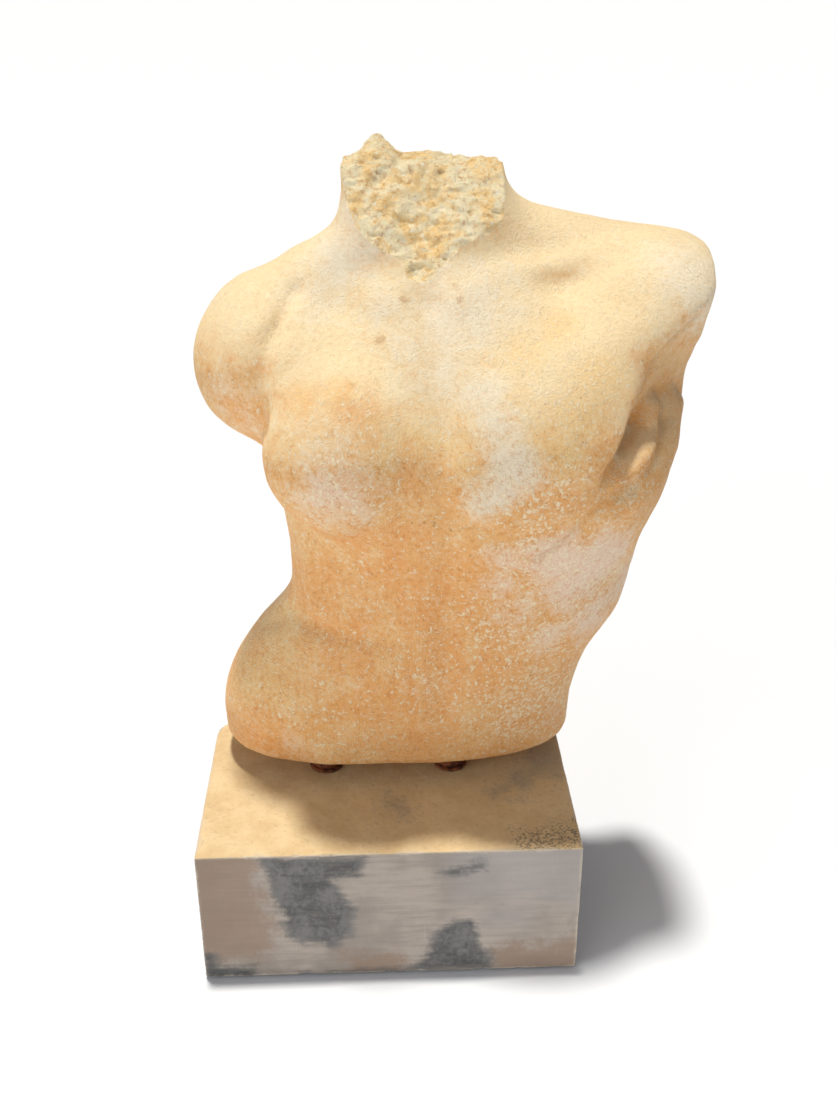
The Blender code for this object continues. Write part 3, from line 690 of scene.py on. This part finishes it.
def stone_look():
    look = Look("patinated_limestone", specular=0.3)
    broad = look.noise(12, 3)
    mid = look.noise(48, 5, 0.6)
    fine = look.noise(230, 5, 0.65)
    grain = look.noise(620, 4, 0.65)
    streak = look.noise(1.0, 4, 0.6, at=look.stretched((80, 80, 8)))
    height = look.node("ShaderNodeSeparateXYZ", {"Vector": look.at}).outputs["Z"]
    wander = look.plus(look.swing(mid, 1.2), look.swing(fine, 0.8))
    blend = look.plus(look.times(broad, 0.6), look.times(mid, 0.4))
    color = look.mix(look.ramp(blend, 0.36, 0.64), (0.83, 0.45, 0.17), (0.88, 0.60, 0.29))
    # Bleached from the chest up, and stained below it. Faces turned upward are painted paler still and faces
    # turned sideways a deeper orange: partly weathering, partly painted light from above and painted shade on
    # the sides.
    upward = look.painted("upward")
    bleach_and_light = look.plus(look.ramp(height, 0.36, 0.60, 0, 0.8), look.swing(mid, 0.9))
    bleach_and_light = look.plus(bleach_and_light, look.times(look.math("SUBTRACT", upward, 0.15), 0.8))
    bleached_and_lit = look.ramp(bleach_and_light, 0.1, 1.1, 0, 0.85)
    color = look.mix(bleached_and_lit, color, (0.92, 0.78, 0.52))
    # Painted shade: a deeper orange where the surface turns sideways, away from the light above.
    painted_side_shade = look.ramp(look.plus(upward, look.swing(mid, 0.5)), 0.30, -0.30, 0, 0.5)
    color = look.mix(painted_side_shade, color, (0.82, 0.41, 0.135))
    # Warmer, paler orange, partly painted light low on the left side.
    warm = look.ramp(look.plus(look.painted("warm"), wander), 0.1, 1.0, 0, 0.65)
    color = look.mix(warm, color, (0.88, 0.62, 0.29))
    tan = look.times(look.painted("tan"), look.ramp(streak, 0.32, 0.60, 0.30, 1.3))
    color = look.mix(look.times(tan, 0.80), color, (0.82, 0.38, 0.125))
    pink = look.ramp(look.plus(look.painted("pink"), wander), 0.15, 0.95)
    color = look.mix(look.times(pink, 0.85), color, (0.87, 0.67, 0.53))
    white = look.ramp(look.plus(look.painted("white"), wander), 0.05, 0.95)
    color = look.mix(look.times(white, 0.80), color, (0.88, 0.80, 0.66))
    # Fine mottling on the same noise as the bump: darker between the grains and paler on them, partly the
    # stone's own speckle and partly painted shade in the dips and painted light on the raised grains.
    mottle = look.plus(look.times(fine, 0.65), look.times(grain, 0.35))
    calm = look.math("SUBTRACT", 1.0, look.times(bleached_and_lit, 0.75))
    color = look.mix(look.times(look.ramp(mottle, 0.49, 0.38, 0, 0.45), calm), color,
                     (0.70, 0.42, 0.20), "MULTIPLY")
    color = look.mix(look.ramp(mottle, 0.52, 0.64, 0, 0.40), color, (0.95, 0.87, 0.70))
    # Pale spots of lime, crowded where the surface was splashed.
    speckle = look.plus(look.times(look.noise(300, 3, 0.55, 0.6), 0.8),
                        look.times(grain, 0.2))
    crowd = look.plus(speckle, look.times(look.painted("spots"), 0.085))
    spots = look.ramp(crowd, 0.585, 0.625)
    color = look.mix(look.times(spots, 0.75), color, (0.95, 0.80, 0.57))
    # Small brown pits.
    pit, pit_tint = look.cells(210)
    chance = look.plus(pit_tint, look.times(look.painted("dirt"), 0.45))
    pits = look.times(look.ramp(look.plus(pit, look.swing(grain, 0.5)), 0.26, 0.16),
                     look.ramp(chance, 0.95, 0.98))
    stains = look.ramp(look.plus(look.painted("stain"), look.swing(fine, 1.4)), 0.45, 0.75)
    marks = look.times(look.math("MAXIMUM", pits, stains), 0.50)
    color = look.mix(marks, color, (0.52, 0.28, 0.10))
    # Painted shade: a dark brown in tight hollows, in the shade patches and along the armpit creases.
    hollow = look.plus(look.ramp(look.painted("hollow"), 0.72, 1.0, 0, 0.25),
                       look.times(look.painted("shade"), 0.55))
    hollow = look.plus(hollow, look.ramp(look.painted("crease"), 0.0, 1.0, 0, 0.40), clamp=True)
    color = look.mix(hollow, color, (0.46, 0.21, 0.06))
    # The broken top of the neck.
    vein = look.noise(45, 6, 0.62, 0.8)
    rough_color = look.mix(look.ramp(vein, 0.42, 0.60), (1.0, 0.89, 0.62), (0.98, 0.71, 0.35))
    rusty = look.ramp(look.noise(190, 6, 0.7), 0.50, 0.64, 0, 0.65)
    rough_color = look.mix(rusty, rough_color, (0.66, 0.36, 0.12))
    # Pale flecks on the break: chalky stone and painted highlights.
    chalk_and_highlight = look.ramp(look.noise(260, 5, 0.7), 0.54, 0.66, 0, 0.9)
    rough_color = look.mix(chalk_and_highlight, rough_color, (1.0, 0.94, 0.76))
    broken = look.ramp(look.plus(look.painted("break"), look.swing(fine, 0.5)), 0.45, 0.60)
    color = look.mix(broken, color, rough_color)
    relief = look.plus(look.times(fine, 0.6), look.times(grain, 0.7))
    relief = look.math("SUBTRACT", relief, look.times(pits, 0.5))
    relief = look.plus(relief, look.times(spots, 0.15))
    normal = look.bump(relief, 0.0018, 0.9)
    crag = look.times(look.swing(look.noise(280, 7, 0.72), 1.0), broken)
    normal = look.bump(crag, 0.0028, 0.9, normal)
    return look.finish(color, look.ramp(mid, 0.3, 0.7, 0.55, 0.75), normal)


def slate_look():
    look = Look("worn_slate", specular=0.3)
    broad = look.noise(16, 4)
    mid = look.noise(48, 6, 0.62)
    fine = look.noise(260, 5, 0.62)
    layers = look.noise(1.0, 5, 0.6, at=look.stretched((22, 22, 210)))
    wander = look.plus(look.swing(mid, 1.5), look.swing(fine, 0.7))
    # The upright faces: grey-brown stone with dark slate showing through.
    side = look.mix(look.ramp(broad, 0.38, 0.62), (0.36, 0.315, 0.28), (0.48, 0.42, 0.375))
    side = look.mix(look.ramp(layers, 0.40, 0.66, 0, 0.40), side, (0.27, 0.24, 0.22))
    side = look.mix(look.times(look.painted("lilac"), 0.6), side, (0.42, 0.395, 0.395))
    brown = look.ramp(look.plus(look.painted("brown"), wander), 0.2, 0.9)
    side = look.mix(look.times(brown, 0.75), side, (0.33, 0.235, 0.175))
    streaks = look.swing(layers, 0.7)
    spread = look.plus(look.plus(look.painted("slate"), wander), streaks)
    shown = look.ramp(spread, 0.25, 0.95)
    elsewhere = look.math("SUBTRACT", 1.0, look.painted("front"))
    stray = look.ramp(look.plus(look.noise(13, 5, 0.6), streaks), 0.56, 0.62)
    stray = look.times(stray, elsewhere)
    dark = look.math("MAXIMUM", shown, stray)
    cloudy = look.plus(look.times(mid, 0.65), look.times(fine, 0.35))
    slate_color = look.mix(look.ramp(cloudy, 0.38, 0.62), (0.060, 0.068, 0.075), (0.20, 0.20, 0.20))
    side = look.mix(look.times(dark, 0.92), side, slate_color)
    # The top: sandy dust over the same stone, worn away at the right.
    sand = look.mix(look.ramp(mid, 0.35, 0.65), (0.66, 0.50, 0.29), (0.74, 0.59, 0.37))
    sand = look.mix(look.times(look.ramp(fine, 0.52, 0.72), 0.35), sand, (0.42, 0.31, 0.20))
    bare = look.ramp(look.plus(look.painted("dark"), wander), 0.25, 0.95)
    sand = look.mix(look.times(bare, 0.65), sand, (0.30, 0.26, 0.22))
    speck, tint = look.cells(420)
    worn = look.times(look.ramp(look.plus(look.painted("worn"), wander), 0.25, 0.8),
                     look.ramp(look.noise(420, 4, 0.7), 0.47, 0.58))
    sand = look.mix(look.times(worn, 0.8), sand, (0.16, 0.15, 0.14))
    color = look.mix(look.painted("top"), side, sand)
    crumbs = look.times(look.ramp(speck, 0.30, 0.22), look.ramp(tint, 0.80, 0.83))
    crumbs = look.times(crumbs, look.painted("grit"))
    color = look.mix(crumbs, color, (0.86, 0.80, 0.68))
    rubbed = look.ramp(look.plus(look.painted("edge"), wander), 0.55, 1.0)
    color = look.mix(look.times(rubbed, 0.75), color, (0.62, 0.55, 0.46))
    # Fine light scratches.
    scratch = look.noise(1.0, 2, at=look.stretched((900, 900, 25), (0.2, 0.7, 0.3)))
    scratched = look.times(look.ramp(scratch, 0.72, 0.76), look.ramp(broad, 0.45, 0.6))
    color = look.mix(look.times(scratched, 0.5), color, (0.60, 0.57, 0.54))
    relief = look.plus(look.times(fine, 0.5), look.times(layers, 0.5))
    relief = look.math("SUBTRACT", relief, look.times(dark, 0.25))
    relief = look.plus(relief, look.times(crumbs, 0.8))
    return look.finish(color, look.ramp(mid, 0.3, 0.7, 0.60, 0.80), look.bump(relief, 0.0008, 0.8))


def rust_look():
    look = Look("rusted_steel", 0.85, 0.3, 0.2)
    mid = look.noise(180, 5, 0.65)
    fine = look.noise(900, 4, 0.6)
    color = look.mix(look.ramp(mid, 0.38, 0.62), (0.075, 0.025, 0.014), (0.26, 0.085, 0.035))
    return look.finish(color, 0.85, look.bump(look.plus(mid, fine), 0.0005, 0.8))


def aim(location, pitch, yaw, roll):
    """A matrix that looks down by pitch, turned by yaw towards +X, with a small roll."""
    forward = Vector((math.sin(yaw) * math.cos(pitch), math.cos(yaw) * math.cos(pitch), -math.sin(pitch)))
    right = Vector((math.cos(yaw), -math.sin(yaw), 0))
    up = right.cross(forward)
    right, up = (math.cos(roll) * right + math.sin(roll) * up, math.cos(roll) * up - math.sin(roll) * right)
    turn = Matrix((right, up, -forward)).transposed().to_4x4()
    turn.translation = Vector(location)
    return turn


def add_camera():
    camera = bpy.data.cameras.new("camera")
    camera.sensor_width = 36.0
    camera.lens = 40.909
    made = linked("camera", camera)
    made.matrix_world = aim((-0.00542, -0.91194, 0.80581), 0.454815, 0.036052, -0.002652)
    bpy.context.scene.camera = made


def add_studio():
    scene = bpy.context.scene
    scene.view_settings.view_transform = "Standard"
    scene.view_settings.look = "None"
    world = bpy.data.worlds.new("studio")
    scene.world = world
    world.use_nodes = True
    sky = world.node_tree.nodes["Background"]
    sky.inputs["Color"].default_value = (1.0, 0.97, 0.93, 1.0)
    sky.inputs["Strength"].default_value = 0.24
    for name, energy, size, color, direction in (
        ("overhead", 3.05, 5, (1.0, 0.94, 0.82), (-0.04, 0.08, 1.0)),
        ("fill", 1.60, 60, (1.0, 0.96, 0.89), (-0.80, -0.80, 0.10)),
    ):
        sun = bpy.data.lights.new(name, "SUN")
        sun.energy = energy
        sun.angle = math.radians(size)
        sun.color = color
        lamp = linked(name, sun)
        lamp.rotation_mode = "QUATERNION"
        lamp.rotation_quaternion = Vector(direction).to_track_quat("Z", "Y")
    floor_mesh = bpy.data.meshes.new("floor")
    corners = [(-FLOOR_HALF, -FLOOR_HALF, 0), (FLOOR_HALF, -FLOOR_HALF, 0),
               (FLOOR_HALF, FLOOR_HALF, 0), (-FLOOR_HALF, FLOOR_HALF, 0)]
    floor_mesh.from_pydata(corners, [], [(0, 1, 2, 3)])
    floor = linked("floor", floor_mesh)
    paper = Look("pale_floor", 0.9, 0.2)
    floor_mesh.materials.append(paper.finish((0.80, 0.845, 0.94)))


def lattice_shell(axes):
    """Points and faces of the outside of a lattice of three coordinate lists."""
    counts = [len(axis) for axis in axes]
    index = np.indices(counts)
    outer = np.zeros(counts, bool)
    for axis, count in zip(index, counts):
        outer |= (axis == 0) | (axis == count - 1)
    number = np.full(counts, -1)
    number[outer] = np.arange(outer.sum())
    grid = np.stack(np.meshgrid(*axes, indexing="ij"), axis=-1)
    faces = []
    for axis in range(3):
        for end in (0, -1):
            side = np.take(number, end, axis=axis)
            ring = [side[:-1, :-1], side[1:, :-1], side[1:, 1:], side[:-1, 1:]]
            face = np.stack([corner.ravel() for corner in ring], axis=1)
            faces.append(face if (end == 0) == (axis == 1) else face[:, ::-1])
    return grid[outer], np.concatenate(faces)


def edge_spaced(low, high, step):
    """Coordinates from low to high, closer together near both ends."""
    near = np.array(BLOCK_END_STEPS)
    count = max(2, round((high - low - 2 * BLOCK_END) / step) + 1)
    middle = np.linspace(low + BLOCK_END, high - BLOCK_END, count)
    return np.concatenate([low + near, middle, high - near[::-1]])


def polygon_depth(u, v, corners):
    """Distance inside a closed outline, negative outside it."""
    nearest = np.full(len(u), 9.0)
    inside = np.zeros(len(u), bool)
    for (au, av), (bu, bv) in zip(corners, corners[1:] + corners[:1]):
        du, dv = bu - au, bv - av
        t = np.clip(((u - au) * du + (v - av) * dv) / (du * du + dv * dv), 0, 1)
        nearest = np.minimum(nearest, np.hypot(u - au - t * du, v - av - t * dv))
        crosses = (av > v) != (bv > v)
        inside ^= crosses & (u < au + (v - av) / (dv if dv else 1e-9) * du)
    return np.where(inside, nearest, -nearest)


def block_mesh():
    low, high = (np.array(corner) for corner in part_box("plinth_block"))
    points, faces = lattice_shell([edge_spaced(a, b, BLOCK_STEP) for a, b in zip(low, high)])
    x, y, z = points.T
    chips = np.clip(noise(x, y, z, 0.011, 21) - 0.45, 0, 1) * 0.007
    chips += np.clip(noise(x, y, z, 0.004, 22) - 0.3, 0, 1) * 0.0018
    corner = np.linalg.norm((points - (low[0], high[1], high[2])) / (1.0, 1.0, 1.6), axis=1)
    radius = 0.0013 + chips + 0.010 * np.exp(-((corner / 0.016) ** 2))
    core = np.clip(points, low + radius[:, None], high - radius[:, None])
    away = points - core
    length = np.linalg.norm(away, axis=1)[:, None]
    rounded = np.where(length > 1e-9, core + away / np.maximum(length, 1e-9) * radius[:, None], points)
    inward = (rounded - (low + high) / 2) / (high - low)
    facing = np.abs(inward) > 0.499
    dents = 0.00025 * (noise(x, y, z, 0.030, 23) + 1) + 0.0001 * (noise(x, y, z, 0.008, 24) + 1)
    on_front = (y < low[1] + 0.001) & (z > low[2] + 0.004)
    for outline, depth in ((LEFT_BLOTCH, 0.0004), (STEPPED_BLOTCH, 0.0006)):
        inset = np.clip(0.5 + polygon_depth(x, z, outline) / 0.002, 0, 1)
        dents = dents + depth * inset * on_front
    foot = rounded[:, 2] < low[2] + 0.002
    rounded -= np.sign(inward) * facing * (dents * ~foot)[:, None]
    mesh = bpy.data.meshes.new("plinth_slate")
    mesh.from_pydata(rounded.tolist(), [], faces.tolist())
    holes = []
    for place in STUD_PLACES.values():
        holes.append((place, HOLE_RADIUS, 0.0, high[2] + 0.01))
        holes.append((place, RECESS_RADIUS, -0.001, low[2] + RECESS_DEPTH))
    return bored(mesh, holes)


# Outlines on the block's front face, as (x, z).
LEFT_BLOTCH = [(-0.107, 0.131), (-0.018, 0.131), (-0.024, 0.105), (-0.046, 0.103), (-0.036, 0.085),
               (-0.030, 0.074), (-0.033, 0.045), (-0.049, 0.031), (-0.075, 0.039), (-0.088, 0.044),
               (-0.097, 0.086)]
STEPPED_BLOTCH = [(0.030, 0.025), (0.038, 0.046), (0.043, 0.054), (0.054, 0.058), (0.069, 0.062),
                  (0.075, 0.056), (0.077, 0.035), (0.088, 0.014), (0.088, 0.001), (0.016, 0.001)]
SMEAR = [(0.042, 0.111), (0.057, 0.120), (0.083, 0.123), (0.079, 0.112), (0.051, 0.104)]
CORNER_BLOTCH = [(-0.164, 0.034), (-0.150, 0.032), (-0.145, 0.016), (-0.116, 0.014), (-0.114, -0.004),
                 (-0.164, -0.004)]
FOOT_BLOTCH = [(-0.080, 0.006), (-0.030, 0.008), (0.030, 0.007), (0.088, 0.004), (0.088, -0.004),
               (-0.080, -0.004)]
PALE_BLUE_AREA = [(0.078, 0.070), (0.118, 0.071), (0.114, 0.051), (0.081, 0.050)]
BROWN_SIDE = [(-0.170, 0.140), (-0.112, 0.140), (-0.097, 0.048), (-0.108, 0.018), (-0.170, 0.020)]
BROWN_FOOT = [(0.084, 0.026), (0.124, 0.030), (0.170, 0.040), (0.170, -0.010), (0.091, -0.010)]
RED_FOOT = [(-0.040, 0.028), (-0.002, 0.026), (0.014, 0.018), (0.012, -0.010), (-0.044, -0.010)]
LILAC_AREA = [(0.046, 0.140), (0.170, 0.140), (0.170, 0.070), (0.058, 0.080)]

# Outlines on the block's top, as (x, y).
WORN_CORNER = [(0.104, -0.074), (0.150, -0.064), (0.170, -0.060), (0.170, -0.110), (0.108, -0.110)]
DARK_BAND = [(0.088, -0.040), (0.170, 0.004), (0.170, 0.110), (0.140, 0.110), (0.120, 0.020),
             (0.080, -0.020)]
SMUDGE = [(-0.006, -0.020), (0.018, -0.021), (0.018, -0.052), (-0.006, -0.052)]
GRITTY_AREA = [(-0.134, 0.050), (-0.100, 0.030), (-0.040, 0.000), (0.030, -0.004), (0.100, 0.004),
               (0.140, 0.010), (0.140, 0.080), (-0.120, 0.080)]


def paint_block(mesh):
    low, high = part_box("plinth_block")
    points = mesh_points(mesh)
    x, y, z = points.T

    def area(u, v, outlines, where, softness=0.016):
        depth = np.maximum.reduce([polygon_depth(u, v, outline) for outline in outlines])
        return np.where(where, 0.5 + depth / softness, 0)

    front = y < low.y + 0.006
    top = z > high.z - 0.006
    blotches = [LEFT_BLOTCH, STEPPED_BLOTCH, SMEAR, CORNER_BLOTCH, FOOT_BLOTCH]
    paint(mesh, "slate", area(x, z, blotches, front))
    paint(mesh, "brown", area(x, z, [BROWN_SIDE, BROWN_FOOT, RED_FOOT], front, 0.03))
    paint(mesh, "lilac", area(x, z, [LILAC_AREA, PALE_BLUE_AREA], front, 0.03))
    paint(mesh, "front", np.clip((low.y + 0.003 - y) / 0.002, 0, 1))
    paint(mesh, "top", np.clip((z - high.z + 0.002) / 0.0015, 0, 1))
    paint(mesh, "worn", area(x, y, [WORN_CORNER], top, 0.04))
    paint(mesh, "dark", area(x, y, [DARK_BAND, SMUDGE], top, 0.05))
    paint(mesh, "grit", area(x, y, [GRITTY_AREA], top, 0.04))
    from_faces = np.stack([x - low.x, high.x - x, y - low.y, high.y - y, z - low.z, high.z - z])
    second_nearest = np.sort(from_faces, axis=0)[1]
    paint(mesh, "edge", 1 - second_nearest / 0.006)


def thread_mesh(name, length, radius, pitch, depth):
    """A threaded rod along Z: a screw thread with chamfered ends."""
    sides, per_turn = 28, 6
    rows = int(round(length / pitch * per_turn)) + 1
    heights = np.linspace(0, length, rows)
    angles = np.arange(sides) * 2 * math.pi / sides
    phase = (heights[:, None] / pitch - angles / (2 * math.pi)) % 1
    tooth = np.clip(np.abs(phase - 0.5) * 2.6 - 0.15, 0, 1)
    reach = radius - depth * tooth
    from_end = np.minimum(heights, length - heights)[:, None]
    reach = np.minimum(reach, radius - 0.0016 + from_end)
    ring = np.stack([reach * np.cos(angles), reach * np.sin(angles), heights[:, None] + 0 * reach], axis=-1)
    points = ring.reshape(-1, 3)
    faces = []
    for row in range(rows - 1):
        for i in range(sides):
            j = (i + 1) % sides
            faces.append((row * sides + i, row * sides + j, (row + 1) * sides + j, (row + 1) * sides + i))
    faces.append(tuple(range(sides))[::-1])
    faces.append(tuple(range((rows - 1) * sides, rows * sides)))
    mesh = bpy.data.meshes.new(name)
    mesh.from_pydata(points.tolist(), [], faces)
    return mesh


def roughened(mesh, amount, size, seed, offset):
    """The mesh pushed inwards here and there, as rust eats a surface."""
    points = mesh_points(mesh)
    normals = np.array([v.normal for v in mesh.vertices])
    x, y, z = (points + offset).T
    eaten = amount * (0.5 + 0.5 * noise(x, y, z, size, seed)) + 0.5 * amount * np.clip(
        noise(x, y, z, size / 3, seed + 1), 0, 1)
    set_mesh_points(mesh, points - normals * eaten[:, None])
    return mesh


def nut_mesh(name, low, high):
    """A hexagon nut with rounded corners, both faces chamfered, and a countersunk bore."""
    inner = (high.x - low.x) / 2
    height = high.z - low.z
    bore = NUT_BORE

    def hexagon(angle):
        flat = inner / math.cos((angle + math.pi / 6) % (math.pi / 3) - math.pi / 6)
        return min(flat, inner * 1.135)

    def drop(angle):
        return max(hexagon(angle) - inner * 0.96, 0) * math.tan(math.radians(30))

    profile = [(0.0008, bore), (0, bore + 0.0009), (0, inner * 0.90), (0, inner * 0.96)]
    profile += [(lambda angle, share=share: drop(angle) + share * (height - 2 * drop(angle)), hexagon)
                for share in np.linspace(0, 1, 13)]
    profile += [(height, inner * 0.96), (height, inner * 0.90), (height, bore + 0.0009),
                (height - 0.0008, bore)]
    return turned_mesh(name, profile, 96, closed=True)


def washer_mesh(name, low, high):
    """A flat washer with its edges rolled over a little."""
    outer, thick, bore, lip = (high.x - low.x) / 2, high.z - low.z, WASHER_BORE, 0.0004
    profile = [(lip, bore), (0, bore + lip), (0, outer - 2.4 * lip), (lip * 0.6, outer - lip * 0.5),
               (lip * 1.8, outer), (thick - lip * 1.8, outer), (thick - lip * 0.5, outer - lip * 0.6),
               (thick, outer - 2.4 * lip), (thick, bore + lip), (thick - lip, bore)]
    return turned_mesh(name, profile, 96, closed=True)


def stand_in_box(mesh, low, high):
    """Moves a mesh made on the origin to the middle of a box's floor."""
    middle = (low + high) / 2
    set_mesh_points(mesh, mesh_points(mesh) + (middle.x, middle.y, low.z))


def add_hardware(rust, steel):
    for number, place in enumerate(STUD_PLACES):
        kinds = [("support_washer", washer_mesh, rust, 0.00010), ("support_nut", nut_mesh, rust, 0.00018),
                 ("clamp_washer", washer_mesh, steel, 0.00002), ("clamp_nut", nut_mesh, steel, 0.00002)]
        for kind, build, look, eaten in kinds:
            node = f"{kind}_{place}"
            low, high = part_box(node)
            mesh = build(node, low, high)
            roughened(mesh, eaten, 0.004, 30 + number, (number * 0.1, 0, high.z))
            stand_in_box(mesh, low, high)
            add_piece(f"{node}_worn", mesh, look, "plinth", [node], 40)
        node = f"stud_{place}"
        low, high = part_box(node)
        mesh = thread_mesh(node, high.z - low.z, (high.x - low.x) / 2, THREAD_PITCH, THREAD_DEPTH)
        stand_in_box(mesh, low, high)
        add_piece(f"{node}_threaded", mesh, rust, "plinth", [node], 50)


def felt_look():
    look = Look("felt", 0.95, 0.1)
    fibre = look.noise(1500, 4, 0.7, 1.5)
    clump = look.noise(260, 3)
    color = look.mix(look.ramp(clump, 0.35, 0.65), (0.030, 0.030, 0.032), (0.060, 0.059, 0.058))
    color = look.mix(look.ramp(fibre, 0.52, 0.70, 0, 0.5), color, (0.13, 0.13, 0.13))
    return look.finish(color, 0.95, look.bump(fibre, 0.0006, 0.8))


def steel_look():
    look = Look("plain_steel", 0.45, 0.5, 1.0)
    dull = look.noise(300, 4, 0.6)
    lines = look.noise(1.0, 3, at=look.stretched((400, 400, 2500)))
    color = look.mix(look.ramp(dull, 0.35, 0.65), (0.50, 0.49, 0.47), (0.36, 0.34, 0.32))
    stain = look.ramp(look.noise(120, 5, 0.65), 0.58, 0.72, 0, 0.6)
    color = look.mix(stain, color, (0.24, 0.13, 0.07))
    return look.finish(color, look.ramp(dull, 0.3, 0.7, 0.35, 0.6), look.bump(lines, 0.0002, 0.4))


add_camera()
add_studio()
rust = rust_look()
stone_mesh = torso_mesh()
paint_torso(stone_mesh)
add_piece("torso_stone", stone_mesh, stone_look(), "torso", ["torso"], 60)
slate_mesh = block_mesh()
paint_block(slate_mesh)
add_piece("plinth_slate", slate_mesh, slate_look(), "plinth", ["plinth_block"], 50)
add_hardware(rust, steel_look())
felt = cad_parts["base_sheet"]
for slot in felt.material_slots:
    slot.link = "OBJECT"
    slot.material = felt_look()
